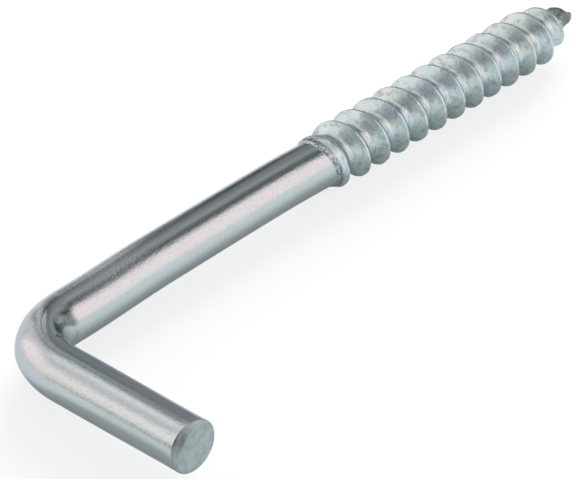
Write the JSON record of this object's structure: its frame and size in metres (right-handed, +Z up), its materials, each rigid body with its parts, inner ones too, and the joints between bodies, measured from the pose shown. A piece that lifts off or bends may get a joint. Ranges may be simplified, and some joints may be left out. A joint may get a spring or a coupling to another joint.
{
  "type": "screw hook",
  "caption": "Square-bend screw hook: round zinc-plated steel wire with a rolled wood-screw thread and blunt gimlet point at one end and a plain leg bent at a right angle at the other.",
  "frame": {"origin": "on the screw's axis where the rolled thread begins, at the face of the wall once the hook is driven home", "axes": "the hook lies flat: +Y along the screw towards its point, +X along the leg towards its cut end, +Z up"},
  "size_m": [0.0309, 0.1016, 0.008],
  "materials": {
    "zinc_plate": "bright zinc plate, smooth on the wire and satin on the thread"
  },
  "bodies": {
    "root": {"screw_hook": "zinc_plate"}
  },
  "joints": []
}
